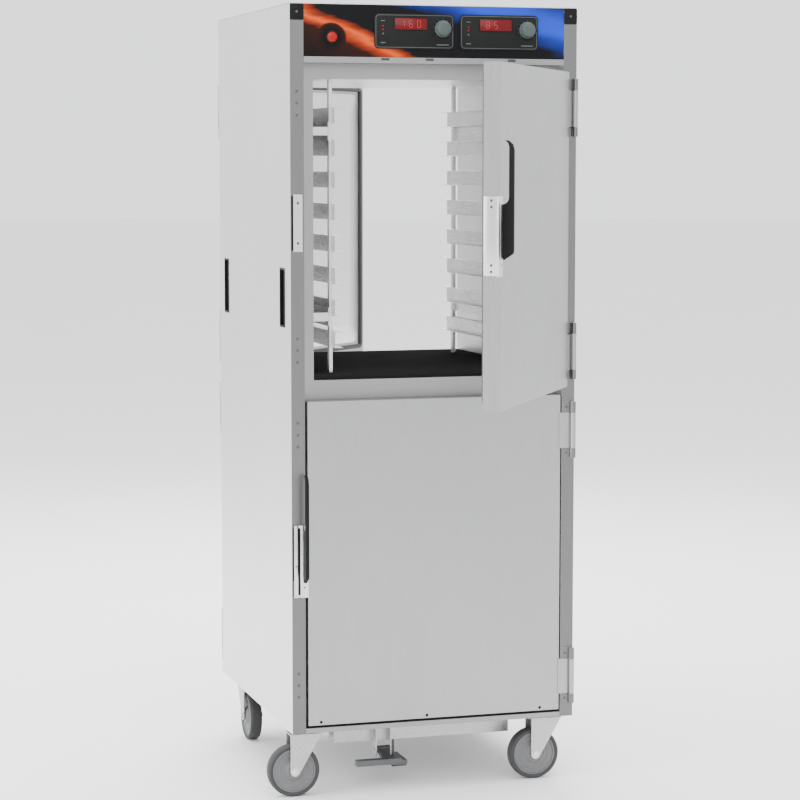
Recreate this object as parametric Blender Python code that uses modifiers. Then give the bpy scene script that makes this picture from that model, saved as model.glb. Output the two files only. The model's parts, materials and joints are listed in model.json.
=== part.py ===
"""Mobile hot food holding cabinet with two compartments and doors at both ends.

The front faces -Y, +X is the right-hand side seen from the front, +Z is up. The
origin is on the floor, under the middle of the body. The body has two-fold
symmetry: the rear frame, doors and left side are the front ones after half a turn.
"""

import math

import bmesh
import bpy
from mathutils import Vector

# Body, in metres.
WIDTH = 0.711
DEPTH = 0.762
HEIGHT = 1.889
SKIRT = 0.160            # height of the side panels' lower edge
SHEET = 0.0015           # thickness of the body's sheet metal
GAP = 0.0003             # left between pieces that touch
POST = 0.033             # width of a corner post's face
RECESS = 0.045           # how far the door landing lies behind the posts' faces
HALF_W = WIDTH / 2
HALF_D = DEPTH / 2
POST_INNER = HALF_W - POST
LANDING_Y = HALF_D - RECESS
SILL = 0.172             # shelf below the lower doors
SHELF = 1.7515           # shelf above the upper doors
LIP_TOP = 1.765          # top of the lip below the control panel
TOP_SHEET = 0.0025
EASE = 0.0005            # clearance cut around a part that is let into another
REACH = 0.010            # how far a cutter runs past a face
PANEL_TOP = HEIGHT - TOP_SHEET - GAP

# Compartments: half width, and the floor and ceiling of each.
CAVITY_HALF_W = 0.2885
CAVITIES = {"upper": (1.003, 1.7146), "lower": (0.212, 0.9236)}
TRAY_TOP = 0.0145        # heater tray's top above the compartment's floor
TRAY_Y = 0.325           # its turned-down ends
ELEMENT_PASSES = (-0.21, -0.07, 0.07, 0.21)
ELEMENT_REACH = 0.20
ELEMENT_R = 0.004
ELEMENT_Z = 0.0065

# Doors: bottom and top of each, and the angle it stands open at rest.
DOORS = {"upper": (0.9785, 1.7345), "lower": (0.1780, 0.9565)}
OPEN_AT_REST = {("front", "upper"): 56.0, ("rear", "upper"): 44.0}
DOOR_THICK = 0.038
FREE_EDGE = -0.3160      # the free edge's x on a front door
HINGE_EDGE = 0.3195
HINGE_X = 0.3495
HINGE_Y = -(HALF_D + 0.0075)
KNUCKLE_R = 0.007
PIN_R = 0.003
PIN_BORE_R = 0.0034
HINGE_INSET = 0.085      # from a door's end to its hinge's middle
KNUCKLE_SPANS = {"top": (0.042, 0.069), "door": (-0.0455, 0.0415), "bottom": (-0.069, -0.046)}
FIXED_LEAF = ((-0.0235, 0.0055), (-0.0020, 0.0083))    # corners from the hinge axis, x and y
DOOR_LEAF = ((-0.0290, 0.0050), (-0.0020, 0.0070))
LEAF_ROOT = ((-0.0335, 0.0050), (-0.0280, 0.0095))
GASKET_WIDTH = 0.012
GASKET_INSET = 0.003     # from the compartment's edge to the gasket

# Latches and handles.
LATCH_HEIGHT = 0.173
LATCH_X = (-0.3515, -0.3165)         # on a closed front door
LATCH_Y = (-0.3880, -0.3836)
FLANGE_X = -0.3200
FLANGE_Y = (-0.3874, -0.3450)
STRIKE_X = (-0.3490, -0.3270)
STRIKE_THICK = 0.0018
STRIKE_HALF = 0.067
STRIKE_OVER_LATCH = 0.017
PIVOT_UNDER_LATCH = 0.0445
LATCH_OVER_MIDDLE = {"upper": 0.004, "lower": 0.010}
HANDLE_BACK = 0.0078     # lever's back, out from the door's face
HANDLE_FRONT = 0.0335
HANDLE_THICK = 0.0075
HANDLE_X = -0.32525
ARM_BACK = 0.0225
ARM_FOOT = 0.1285        # where the arm leaves the grip, above the pivot
PIVOT_R = 0.0075

# Pan racks.
RACK_X = 0.2320          # inner side of a rack's uprights
RUNNERS = 8
RUNNER_PITCH = 0.0762
RUNNER_HEIGHT = 0.037
RUNNER_REACH = 0.020
FIRST_RUNNER = 0.094     # middle of the lowest runner above the compartment's floor
RUNNER_Y = (-0.320, 0.250)
UPRIGHT_Y = (-0.290, 0.210)
UPRIGHT = (0.008, 0.016) # an upright's size in x and y
TIE_Z = (0.148, 0.590)   # above the compartment's floor
TIE_HALF = 0.022
STANDOFF = (0.006, 0.010)            # half sizes in y and z

# Casters and floor lock.
WHEEL_R = 0.0635
WHEEL_WIDTH = 0.032
TRAIL = 0.038
CASTER_X = 0.306
CASTER_Y = {"front": -0.337, "rear": 0.300}
CASTER_TURN = {"front": math.pi, "rear": -math.pi / 2}
BASE_Z = (0.1790, 0.1805)
CASTER_PLATE = (0.1655, 0.1715)
RACE_BOTTOM = 0.1611
CROWN = (0.1545, 0.1606)  # the fork's disc under the raceway
BRIDGE = (0.1506, 0.1540)  # the fork's top, over the wheel
PAD = (0.033, 0.040)     # half sizes of a caster's plate
RACE_R = 0.027
CROWN_R = 0.030
NECK_R = 0.022
AXLE_R = 0.006
AXLE_END = 0.0275
HUB_R = 0.0170
HUB_BORE_R = 0.0070
HUB_HALF = 0.0185
LEG_OUT = 0.0220         # middle of a leg from the wheel's middle
LEG_THICK = 0.003
FORK_BACK = -0.028
FORK_NOSE = 0.011        # the fork's front, past the axle
FLOOR_LOCK_Y = -0.250
LOCK_HALF = (0.225, 0.025)           # the channel's half length and half width
LOCK_EDGE = 0.106                    # height of the channel's lower edges
CHEEK_Z = (0.072, 0.156)
LOCK_PIVOT = (-0.1065, -0.290, 0.087)

# Controls.
CONTROL_Z = 1.8260
CONTROLLERS = {"left": -0.0535, "right": 0.1575}
KNOB_X = 0.0702          # from a controller's middle to its knob
KNOB_Z = 1.8330
BUTTON = (-0.2545, 1.8105)
BUTTON_R = 0.012
BEZEL_HALF = (0.098, 0.041)
BODY_HALF = (0.0855, 0.0345)         # a controller's body, behind the fascia
BODY_DEPTH = 0.060
SHAFT_BORE_R = 0.0034
INLET = (0.22, 1.822)     # on the rear, x and height
INLET_R = 0.020
INLET_DEPTH = 0.030
SOCKET = (0.0165, 0.025) # the inlet's hollow: radius and depth

# Hand grips in the side panels.
GRIP_Y = 0.300
GRIP_Z = 1.1995
GRIP_HALF = (0.0205, 0.0675)
GRIP_DEPTH = 0.024
GRIP_WALL = 0.002
GRIP_RIM = 0.003

COLOURS = {
    "stainless": ((0.66, 0.66, 0.65), 0.32, 1.0),
    "bright_steel": ((0.74, 0.74, 0.73), 0.24, 1.0),
    "dark_steel": ((0.16, 0.16, 0.17), 0.45, 1.0),
    "black_plastic": ((0.02, 0.02, 0.022), 0.42, 0.0),
    "grey_rubber": ((0.13, 0.13, 0.13), 0.75, 0.0),
    "tyre_grey": ((0.20, 0.20, 0.21), 0.60, 0.0),
    "insulation": ((0.75, 0.68, 0.42), 0.95, 0.0),
    "knob_grey": ((0.22, 0.28, 0.27), 0.50, 0.0),
    "lit_red": ((0.75, 0.04, 0.02), 0.30, 0.0),
}


# ---------------------------------------------------------------- helpers

def clear_scene():
    for item in list(bpy.data.objects):
        bpy.data.objects.remove(item, do_unlink=True)


def make_collection(name):
    collection = bpy.data.collections.new(name)
    bpy.context.scene.collection.children.link(collection)
    return collection


def make_material(name):
    colour, roughness, metallic = COLOURS[name]
    material = bpy.data.materials.new(name)
    material.use_nodes = True
    shader = material.node_tree.nodes["Principled BSDF"]
    shader.inputs["Base Color"].default_value = (*colour, 1.0)
    shader.inputs["Roughness"].default_value = roughness
    shader.inputs["Metallic"].default_value = metallic
    return material


def place(name, data, material, parent, location=(0, 0, 0), rotation=(0, 0, 0)):
    """Links an object to the parts, or to the cutters when it has no material."""
    item = bpy.data.objects.new(name, data)
    item.location = location
    item.rotation_euler = rotation
    item.parent = parent
    if material is None:
        item.hide_render = True
        item.display_type = "WIRE"
        CUTTERS.objects.link(item)
    else:
        data.materials.append(MATERIALS[material])
        PARTS.objects.link(item)
    return item


def make_empty(name, location, turn=0.0, parent=None):
    item = bpy.data.objects.new(name, None)
    item.location = location
    item.rotation_euler = (0, 0, turn)
    item.parent = parent
    PARTS.objects.link(item)
    return item


def box(name, low, high, material=None, parent=None):
    low, high = Vector(low), Vector(high)
    mesh = bpy.data.meshes.new(name)
    shape = bmesh.new()
    bmesh.ops.create_cube(shape, size=1.0)
    bmesh.ops.scale(shape, vec=high - low, verts=shape.verts)
    shape.to_mesh(mesh)
    shape.free()
    return place(name, mesh, material, parent, (low + high) / 2)


def rod(name, start, end, radius, material=None, parent=None, segments=16):
    start, end = Vector(start), Vector(end)
    mesh = bpy.data.meshes.new(name)
    shape = bmesh.new()
    bmesh.ops.create_cone(shape, cap_ends=True, segments=segments, radius1=radius,
                          radius2=radius, depth=(end - start).length)
    shape.to_mesh(mesh)
    shape.free()
    turn = (end - start).to_track_quat("Z", "Y").to_euler()
    return place(name, mesh, material, parent, (start + end) / 2, turn)


def combine(target, tool, operation):
    modifier = target.modifiers.new(tool.name, "BOOLEAN")
    modifier.operation = operation
    modifier.solver = "EXACT"
    modifier.object = tool


def weld(target, *tools):
    for tool in tools:
        combine(target, tool, "UNION")


def cut(target, *tools):
    for tool in tools:
        combine(target, tool, "DIFFERENCE")


def sheet(name, path, axis, span, material=None, parent=None, thickness=SHEET):
    """A bent sheet: its middle line, in the plane across the axis, drawn out over a span."""
    along = "XYZ".index(axis)
    mesh = bpy.data.meshes.new(name)
    shape = bmesh.new()
    previous = None
    for point in path:
        place_at = list(point)
        place_at.insert(along, span[0])
        vertex = shape.verts.new(place_at)
        if previous:
            shape.edges.new((previous, vertex))
        previous = vertex
    drawn = bmesh.ops.extrude_edge_only(shape, edges=shape.edges[:])
    moved = [v for v in drawn["geom"] if isinstance(v, bmesh.types.BMVert)]
    step = Vector((0, 0, 0))
    step[along] = span[1] - span[0]
    bmesh.ops.translate(shape, vec=step, verts=moved)
    shape.to_mesh(mesh)
    shape.free()
    item = place(name, mesh, material, parent)
    solidify = item.modifiers.new("thickness", "SOLIDIFY")
    solidify.thickness = thickness
    solidify.offset = 0.0
    solidify.use_even_offset = True
    return item


def turned(name, profile, steps, material, parent, location, rotation, closed=False):
    """A turned shape: (radius, height) points down its outer side, spun about Z."""
    mesh = bpy.data.meshes.new(name)
    shape = bmesh.new()
    verts = [shape.verts.new((radius, 0, height)) for radius, height in profile]
    for first, second in zip(verts, verts[1:]):
        shape.edges.new((first, second))
    if closed:
        shape.edges.new((verts[-1], verts[0]))
    shape.to_mesh(mesh)
    shape.free()
    item = place(name, mesh, material, parent, location, rotation)
    screw = item.modifiers.new("turn", "SCREW")
    screw.steps = steps
    screw.render_steps = steps
    screw.use_merge_vertices = True
    screw.merge_threshold = 0.00001
    screw.use_smooth_shade = True
    return item


def arc(centre, radius, start, end, count):
    """Points along an arc, angles in degrees."""
    points = []
    for index in range(count + 1):
        angle = math.radians(start + (end - start) * index / count)
        points.append((centre[0] + radius * math.cos(angle), centre[1] + radius * math.sin(angle)))
    return points


def plate(name, points, thickness, material, parent, location, rotation):
    """A flat plate from its outline, made a mesh with its faces joined at the edges."""
    curve = bpy.data.curves.new(name, "CURVE")
    curve.dimensions = "2D"
    curve.fill_mode = "BOTH"
    curve.extrude = thickness / 2
    spline = curve.splines.new("POLY")
    spline.points.add(len(points) - 1)
    for spot, (x, y) in zip(spline.points, points):
        spot.co = (x, y, 0, 1)
    spline.use_cyclic_u = True
    guide = bpy.data.objects.new(name, curve)
    CUTTERS.objects.link(guide)
    bpy.context.view_layer.update()
    evaluated = guide.evaluated_get(bpy.context.evaluated_depsgraph_get())
    mesh = bpy.data.meshes.new_from_object(evaluated)
    bpy.data.objects.remove(guide, do_unlink=True)
    shape = bmesh.new()
    shape.from_mesh(mesh)
    bmesh.ops.remove_doubles(shape, verts=shape.verts, dist=0.00001)
    shape.to_mesh(mesh)
    shape.free()
    return place(name, mesh, material, parent, location, rotation)


ACROSS_X = (math.pi / 2, 0, math.pi / 2)    # outline (x, y) stands as world (y, z)
ACROSS_Y = (math.pi / 2, 0, 0)              # outline (x, y) stands as world (x, z)
FACING_FRONT = (math.pi / 2, 0, 0)          # a turned shape's +Z points to -Y
FACING_REAR = (-math.pi / 2, 0, 0)


# ---------------------------------------------------------------- body

def side_panel(name, frame, grips):
    """Outer side sheet, folded into the corner posts at both ends."""
    outer = HALF_W - SHEET / 2
    inner = POST_INNER + SHEET / 2
    face = HALF_D - SHEET / 2
    back = LANDING_Y - SHEET
    path = [(inner, -back), (inner, -face), (outer, -face), (outer, face), (inner, face), (inner, back)]
    panel = sheet(name, path, "Z", (SKIRT, PANEL_TOP), "stainless", frame)
    half_y, half_z = GRIP_HALF[0] + EASE, GRIP_HALF[1] + EASE
    for index, y in enumerate(grips):
        low = (outer - REACH, y - half_y, GRIP_Z - half_z)
        high = (outer + REACH, y + half_y, GRIP_Z + half_z)
        cut(panel, box(f"{name}_grip_hole_{index}", low, high, parent=frame))
    for index, end in enumerate((-1, 1)):
        low_y, high_y = sorted((end * (back - 0.001), end * (face - 0.001)))
        low = (inner - REACH, low_y, SKIRT - REACH)
        high = (inner + REACH, high_y, BASE_Z[1] + SHEET)
        cut(panel, box(f"{name}_foot_notch_{index}", low, high, parent=frame))
    return panel


def hand_grip(name, frame, y):
    """Recessed cup with a thin rim on the side panel's face."""
    def cup_box(part, grow, near, far, material=None):
        half_y, half_z = GRIP_HALF[0] + grow, GRIP_HALF[1] + grow
        low = (near, y - half_y, GRIP_Z - half_z)
        high = (far, y + half_y, GRIP_Z + half_z)
        return box(part, low, high, material, frame)

    floor = HALF_W - GRIP_DEPTH
    cup = cup_box(name, 0.0, floor, HALF_W + 0.001, "black_plastic")
    weld(cup, cup_box(f"{name}_rim", GRIP_RIM, HALF_W + GAP, HALF_W + GAP + 0.001))
    cut(cup, cup_box(f"{name}_hollow", -GRIP_WALL, floor + GRIP_WALL, HALF_W + REACH))


def door_frame(name, frame):
    """Landing for the doors around both compartments, with the shelf and lip above them."""
    middle = LANDING_Y - SHEET / 2
    face = HALF_D - SHEET / 2
    path = [(-middle, BASE_Z[1] + 0.0012), (-middle, SHELF), (-face, SHELF), (-face, LIP_TOP)]
    half = POST_INNER - GAP
    landing = sheet(name, path, "X", (-half, half), "stainless", frame)
    for level, (floor, ceiling) in CAVITIES.items():
        low = (-CAVITY_HALF_W, -LANDING_Y - REACH, floor)
        high = (CAVITY_HALF_W, -LANDING_Y + REACH, ceiling)
        cut(landing, box(f"{name}_{level}_opening", low, high, parent=frame))


def base_pan():
    """Bottom plate with a step down to the front and rear lips, and the four caster plates."""
    face = HALF_D - SHEET / 2
    riser = LANDING_Y - SHEET - GAP - SHEET / 2
    shelf = SILL - SHEET / 2
    middle = (BASE_Z[0] + BASE_Z[1]) / 2
    half_path = [(-face, SKIRT), (-face, shelf), (-riser, shelf), (-riser, middle)]
    path = half_path + [(-y, z) for y, z in reversed(half_path)]
    half = POST_INNER - GAP
    pan = sheet("base_pan", path, "X", (-half, half), "stainless")
    wing_x, wing_y = HALF_W - 0.002, LANDING_Y - 0.002
    weld(pan, box("base_wings", (-wing_x, -wing_y, BASE_Z[0]), (wing_x, wing_y, BASE_Z[1])))
    for end, y in CASTER_Y.items():
        for side, x in (("left", -CASTER_X), ("right", CASTER_X)):
            weld(pan, *caster_plate(f"{end}_{side}_caster", x, y, riser))


def caster_plate(name, x, y, riser):
    """A caster's plate with its raceway, and the spacer between it and the base."""
    half_x, half_y = PAD
    low, high = CASTER_PLATE
    pad = box(f"{name}_plate", (x - half_x, y - half_y, low), (x + half_x, y + half_y, high))
    near, far = max(y - half_y, -riser), min(y + half_y, riser)
    spacer = box(f"{name}_spacer", (x - half_x, near, high - 0.001), (x + half_x, far, BASE_Z[0] + EASE))
    race = rod(f"{name}_raceway", (x, y, RACE_BOTTOM), (x, y, low + 0.001), RACE_R, segments=20)
    return pad, spacer, race


def top_panel():
    """Lid over the controls, folded down over the back."""
    lid_low = (-HALF_W, -HALF_D, HEIGHT - TOP_SHEET)
    lid = box("top_panel", lid_low, (HALF_W, HALF_D, HEIGHT), "stainless")
    half = POST_INNER - GAP
    back_low = (-half, HALF_D - 0.002, LIP_TOP + SHEET)
    weld(lid, box("top_back", back_low, (half, HALF_D, HEIGHT - 0.001)))
    x, z = INLET
    hole_r = INLET_R + 0.0008
    cut(lid, rod("inlet_hole", (x, HALF_D - REACH, z), (x, HALF_D + REACH, z), hole_r, segments=24))


def liner(name, floor, ceiling):
    """Inner walls of one compartment, open at both ends."""
    half = CAVITY_HALF_W
    length = LANDING_Y - SHEET - GAP
    outer = half + SHEET
    walls = box(name, (-outer, -length, floor - SHEET), (outer, length, ceiling + SHEET), "stainless")
    cut(walls, box(f"{name}_inside", (-half, -HALF_D, floor), (half, HALF_D, ceiling)))


def insulation():
    """Blanket that fills the walls around both compartments."""
    length = LANDING_Y - SHEET - GAP
    side = HALF_W - SHEET - GAP
    low, high = (-side, -length, BASE_Z[1] + EASE), (side, length, SHELF - SHEET)
    blanket = box("insulation", low, high, "insulation")
    around = SHEET + GAP
    half = CAVITY_HALF_W + around
    for level, (floor, ceiling) in CAVITIES.items():
        low, high = (-half, -HALF_D, floor - around), (half, HALF_D, ceiling + around)
        cut(blanket, box(f"{level}_liner_space", low, high))
    half_y, half_z = GRIP_HALF[0] + EASE, GRIP_HALF[1] + EASE
    for sign in (-1, 1):
        near, far = sorted((sign * (HALF_W - GRIP_DEPTH - EASE), sign * HALF_W))
        for y in (-GRIP_Y, GRIP_Y):
            low, high = (near, y - half_y, GRIP_Z - half_z), (far, y + half_y, GRIP_Z + half_z)
            cut(blanket, box(f"grip_space_{sign}_{y}", low, high))


def heater_tray(name, floor):
    """Shallow cover over the heating element on a compartment's floor."""
    top = floor + TRAY_TOP - SHEET / 2
    path = [(-TRAY_Y, floor + GAP), (-TRAY_Y, top), (TRAY_Y, top), (TRAY_Y, floor + GAP)]
    half = CAVITY_HALF_W - 0.002
    sheet(name, path, "X", (-half, half), "dark_steel")


def heating_element(name, floor):
    """Tube bent back and forth under the tray."""
    bend = (ELEMENT_PASSES[1] - ELEMENT_PASSES[0]) / 2
    points = []
    for index, x in enumerate(ELEMENT_PASSES):
        start = ELEMENT_REACH if index % 2 else -ELEMENT_REACH
        points.append((x, start))
        if index < len(ELEMENT_PASSES) - 1:
            centre = (x + bend, -start)
            first, last = (180, 0) if start < 0 else (180, 360)
            points += arc(centre, bend, first, last, 5)
        else:
            points.append((x, -start))
    curve = bpy.data.curves.new(name, "CURVE")
    curve.dimensions = "3D"
    curve.bevel_depth = ELEMENT_R
    curve.bevel_resolution = 1
    curve.use_fill_caps = True
    spline = curve.splines.new("POLY")
    spline.points.add(len(points) - 1)
    for spot, (x, y) in zip(spline.points, points):
        spot.co = (x, y, 0, 1)
    place(name, curve, "dark_steel", None, (0, 0, floor + ELEMENT_Z))


# ---------------------------------------------------------------- pan racks

def pan_rack(name, side, floor, ceiling):
    """Two uprights with channel runners inside them, tied and held off the wall."""
    def span(near, far):
        return sorted((side * near, side * far))

    thick_x, thick_y = UPRIGHT
    low_x, high_x = span(RACK_X, RACK_X + thick_x)
    bottom, top = floor + TRAY_TOP + GAP, ceiling - GAP

    def upright(part, y, material=None):
        low, high = (low_x, y - thick_y / 2, bottom), (high_x, y + thick_y / 2, top)
        return box(part, low, high, material)

    rack = upright(name, UPRIGHT_Y[0], "bright_steel")
    weld(rack, upright(f"{name}_rear_upright", UPRIGHT_Y[1]))
    web = side * (RACK_X - 0.0004)
    tip = side * (RACK_X - RUNNER_REACH)
    for index in range(RUNNERS):
        middle = floor + FIRST_RUNNER + index * RUNNER_PITCH
        low, high = middle - RUNNER_HEIGHT / 2, middle + RUNNER_HEIGHT / 2
        path = [(tip, low), (web, low), (web, high), (tip, high)]
        weld(rack, sheet(f"{name}_runner_{index}", path, "Y", RUNNER_Y))
    for index, height in enumerate(TIE_Z):
        weld(rack, *rack_tie(f"{name}_tie_{index}", span, floor + height))


def rack_tie(name, span, height):
    """A strap between a rack's uprights and the spacers that hold it off the wall."""
    near, far = RACK_X + UPRIGHT[0] - EASE, RACK_X + UPRIGHT[0] + 0.002
    low_x, high_x = span(near, far)
    low = (low_x, UPRIGHT_Y[0] - UPRIGHT[1] / 2 + 0.001, height - TIE_HALF)
    high = (high_x, UPRIGHT_Y[1] + UPRIGHT[1] / 2 - 0.001, height + TIE_HALF)
    tools = [box(name, low, high)]
    low_x, high_x = span(far - EASE, CAVITY_HALF_W - GAP)
    half_y, half_z = STANDOFF
    for y in UPRIGHT_Y:
        low, high = (low_x, y - half_y, height - half_z), (high_x, y + half_y, height + half_z)
        tools.append(box(f"{name}_spacer_{y}", low, high))
    return tools


# ---------------------------------------------------------------- doors

def door_x(x):
    """A front door's x, measured from its hinge axis."""
    return x - HINGE_X


def door_y(y):
    return y - HINGE_Y


def hinge_middles(level):
    bottom, top = DOORS[level]
    return (bottom + HINGE_INSET, top - HINGE_INSET)


def upright_rod(name, low, high, radius, axis_frame):
    return rod(name, (0, 0, low), (0, 0, high), radius, parent=axis_frame, segments=12)


def fixed_hinge_halves(panel, axis_frame, level):
    """Two knuckles, their leaves and the pin, welded to the post's face."""
    for index, middle in enumerate(hinge_middles(level)):
        name = f"{panel.name}_{level}_hinge_{index}"
        for part in ("top", "bottom"):
            low, high = (middle + offset for offset in KNUCKLE_SPANS[part])
            corners = (*FIXED_LEAF[0], low), (*FIXED_LEAF[1], high)
            leaf = box(f"{name}_{part}_leaf", *corners, parent=axis_frame)
            weld(panel, leaf, upright_rod(f"{name}_{part}_knuckle", low, high, KNUCKLE_R, axis_frame))
        low = middle + KNUCKLE_SPANS["bottom"][0] + 0.001
        high = middle + KNUCKLE_SPANS["top"][1] - 0.001
        weld(panel, upright_rod(f"{name}_pin", low, high, PIN_R, axis_frame))


def door_shell(name, hinge, level):
    """Foam-filled door with its hinge leaves and knuckles."""
    bottom, top = DOORS[level]
    face = door_y(-HALF_D)
    shell = box(name, (door_x(FREE_EDGE), face, bottom), (door_x(HINGE_EDGE), face + DOOR_THICK, top),
                "stainless", hinge)
    for index, middle in enumerate(hinge_middles(level)):
        low, high = (middle + offset for offset in KNUCKLE_SPANS["door"])
        root = box(f"{name}_leaf_root_{index}", (*LEAF_ROOT[0], low), (*LEAF_ROOT[1], high), parent=hinge)
        leaf = box(f"{name}_leaf_{index}", (*DOOR_LEAF[0], low), (*DOOR_LEAF[1], high), parent=hinge)
        weld(shell, root, leaf, upright_rod(f"{name}_knuckle_{index}", low, high, KNUCKLE_R, hinge))
        cut(shell, upright_rod(f"{name}_pin_bore_{index}", low - REACH, high + REACH, PIN_BORE_R, hinge))


def gasket(name, hinge, level):
    """Rubber ring on the door's inner face, pressed on the landing when it is shut."""
    floor, ceiling = CAVITIES[level]
    back = door_y(-HALF_D + DOOR_THICK)
    low_y, high_y = back + GAP, door_y(-LANDING_Y) - GAP

    def around(part, grow, near, far, material=None):
        half = CAVITY_HALF_W + GASKET_INSET + grow
        low = (door_x(-half), near, floor - GASKET_INSET - grow)
        high = (door_x(half), far, ceiling + GASKET_INSET + grow)
        return box(part, low, high, material, hinge)

    ring = around(name, GASKET_WIDTH, low_y, high_y, "grey_rubber")
    cut(ring, around(f"{name}_inside", 0.0, low_y - REACH, high_y + REACH))


def latch_middle(level):
    bottom, top = DOORS[level]
    return (bottom + top) / 2 + LATCH_OVER_MIDDLE[level]


def latch_housing(name, hinge, level):
    """Latch block that reaches over the post, with its flange on the door's free edge."""
    middle = latch_middle(level)
    low, high = middle - LATCH_HEIGHT / 2, middle + LATCH_HEIGHT / 2
    block_low = (door_x(LATCH_X[0]), door_y(LATCH_Y[0]), low)
    block_high = (door_x(LATCH_X[1]), door_y(LATCH_Y[1]), high)
    block = box(name, block_low, block_high, "bright_steel", hinge)
    flange_low = (door_x(FLANGE_X), door_y(FLANGE_Y[0]), low + EASE)
    flange_high = (door_x(FREE_EDGE - GAP), door_y(FLANGE_Y[1]), high - EASE)
    weld(block, box(f"{name}_flange", flange_low, flange_high, parent=hinge))


def handle_outline():
    """Side view from the pivot: first number is inwards, second is up."""
    pivot_out = HANDLE_BACK + PIVOT_R
    back = PIVOT_R
    front = pivot_out - HANDLE_FRONT
    arm_back = pivot_out - ARM_BACK
    curve = back - arm_back
    points = arc((0, 0), PIVOT_R, 300, 360, 4)
    points += arc((back, ARM_FOOT), curve, 270, 180, 6)
    points += [(arm_back, 0.238), (arm_back + 0.003, 0.246), (arm_back + 0.010, 0.251)]
    points += [(arm_back + 0.002, 0.2505), (front + 0.003, 0.242), (front, 0.230)]
    points += [(front, 0.012), (front + 0.002, 0.007)]
    return points


def handle(name, hinge, level):
    """Pull lever, turning on a pin across its lower end."""
    height = latch_middle(level) - PIVOT_UNDER_LATCH
    pivot = (door_x(HANDLE_X), door_y(-HALF_D - HANDLE_BACK - PIVOT_R), height)
    plate(name, handle_outline(), HANDLE_THICK, "black_plastic", hinge, pivot, ACROSS_X)


def strike(name, frame, level):
    """Flat strike on the post beside the latch."""
    middle = latch_middle(level) + STRIKE_OVER_LATCH
    low = (STRIKE_X[0], -HALF_D - GAP - STRIKE_THICK, middle - STRIKE_HALF)
    high = (STRIKE_X[1], -HALF_D - GAP, middle + STRIKE_HALF)
    box(name, low, high, "bright_steel", frame)


def door(end, level, frame, panel):
    """One door with its gasket, latch and handle, hung on a side panel's post."""
    axis = (HINGE_X, HINGE_Y, 0)
    fixed = make_empty(f"{end}_{level}_hinge_line", axis, 0.0, frame)
    opened = math.radians(OPEN_AT_REST.get((end, level), 0.0))
    swung = make_empty(f"{end}_{level}_swing", axis, opened, frame)
    fixed_hinge_halves(panel, fixed, level)
    name = f"{end}_{level}"
    door_shell(f"{name}_door", swung, level)
    gasket(f"{name}_gasket", swung, level)
    latch_housing(f"{name}_latch", swung, level)
    handle(f"{name}_handle", swung, level)
    strike(f"{name}_strike", frame, level)


# ---------------------------------------------------------------- controls

def control_panel():
    """Black fascia across the front, above the doors."""
    half = POST_INNER - GAP
    low, high = (-half, -HALF_D, LIP_TOP + 0.001), (half, -HALF_D + 0.003, PANEL_TOP)
    fascia = box("control_panel", low, high, "black_plastic")
    half_x, half_z = BODY_HALF[0] + EASE, BODY_HALF[1] + EASE
    front, back = -HALF_D - REACH, -HALF_D + REACH
    for side, x in CONTROLLERS.items():
        low, high = (x - half_x, front, CONTROL_Z - half_z), (x + half_x, back, CONTROL_Z + half_z)
        cut(fascia, box(f"{side}_cutout", low, high))
    x, z = BUTTON
    cut(fascia, rod("button_hole", (x, front, z), (x, back, z), BUTTON_R + 0.0008, segments=24))


def controller(side, x):
    """Plug-in controller: bezel on the fascia, body behind it, bore for the knob's shaft."""
    name = f"{side}_controller"

    def upright_box(part, half, front, back, material=None):
        low = (x - half[0], -HALF_D + front, CONTROL_Z - half[1])
        high = (x + half[0], -HALF_D + back, CONTROL_Z + half[1])
        return box(part, low, high, material)

    bezel = upright_box(name, BEZEL_HALF, -0.0028, -GAP, "black_plastic")
    weld(bezel, upright_box(f"{name}_body", BODY_HALF, -0.002, BODY_DEPTH))
    start = (x + KNOB_X, -HALF_D - REACH, KNOB_Z)
    end = (x + KNOB_X, -HALF_D + 0.014, KNOB_Z)
    cut(bezel, rod(f"{name}_bore", start, end, SHAFT_BORE_R))


def knob(side, x):
    """Turned knob with its shaft."""
    profile = [(0, 0.016), (0.0165, 0.016), (0.0180, 0.0145), (0.0200, 0)]
    profile += [(0.003, 0), (0.003, -0.012), (0, -0.012)]
    middle = (x + KNOB_X, -HALF_D - 0.0033, KNOB_Z)
    turned(f"{side}_knob", profile, 24, "knob_grey", None, middle, FACING_FRONT)


def power_button():
    """Round lens, proud of the control panel, on its plunger."""
    x, z = BUTTON
    profile = [(0, 0.0065), (0.009, 0.0060), (BUTTON_R, 0.0045), (BUTTON_R, -0.012), (0, -0.012)]
    turned("power_button", profile, 24, "lit_red", None, (x, -HALF_D, z), FACING_FRONT)


def power_inlet():
    """Round inlet on the rear: a socket with a collar on the sheet."""
    collar_r, collar = 0.0300, 0.0050
    radius, depth = SOCKET
    profile = [(0, -depth), (radius, -depth), (radius, collar), (collar_r, collar), (collar_r, GAP)]
    profile += [(INLET_R, GAP), (INLET_R, -INLET_DEPTH), (0, -INLET_DEPTH)]
    x, z = INLET
    turned("power_inlet", profile, 24, "black_plastic", None, (x, HALF_D, z), FACING_REAR)


# ---------------------------------------------------------------- running gear

def fork_leg_outline():
    """Side view of a leg from the swivel axis: wide at the top, round at the axle."""
    top = BRIDGE[1] - 0.0005
    end_r = 0.012
    points = [(FORK_BACK, top)]
    points += arc((TRAIL, WHEEL_R), end_r, 205, 360, 8)
    points += [(TRAIL + end_r - 0.001, top)]
    return points


def caster(end, side, x, y):
    swivel = make_empty(f"{end}_{side}_swivel", (x, y, 0), CASTER_TURN[end])
    caster_fork(f"{end}_{side}_caster_fork", swivel)
    caster_wheel(f"{end}_{side}_caster_wheel", swivel)


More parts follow.
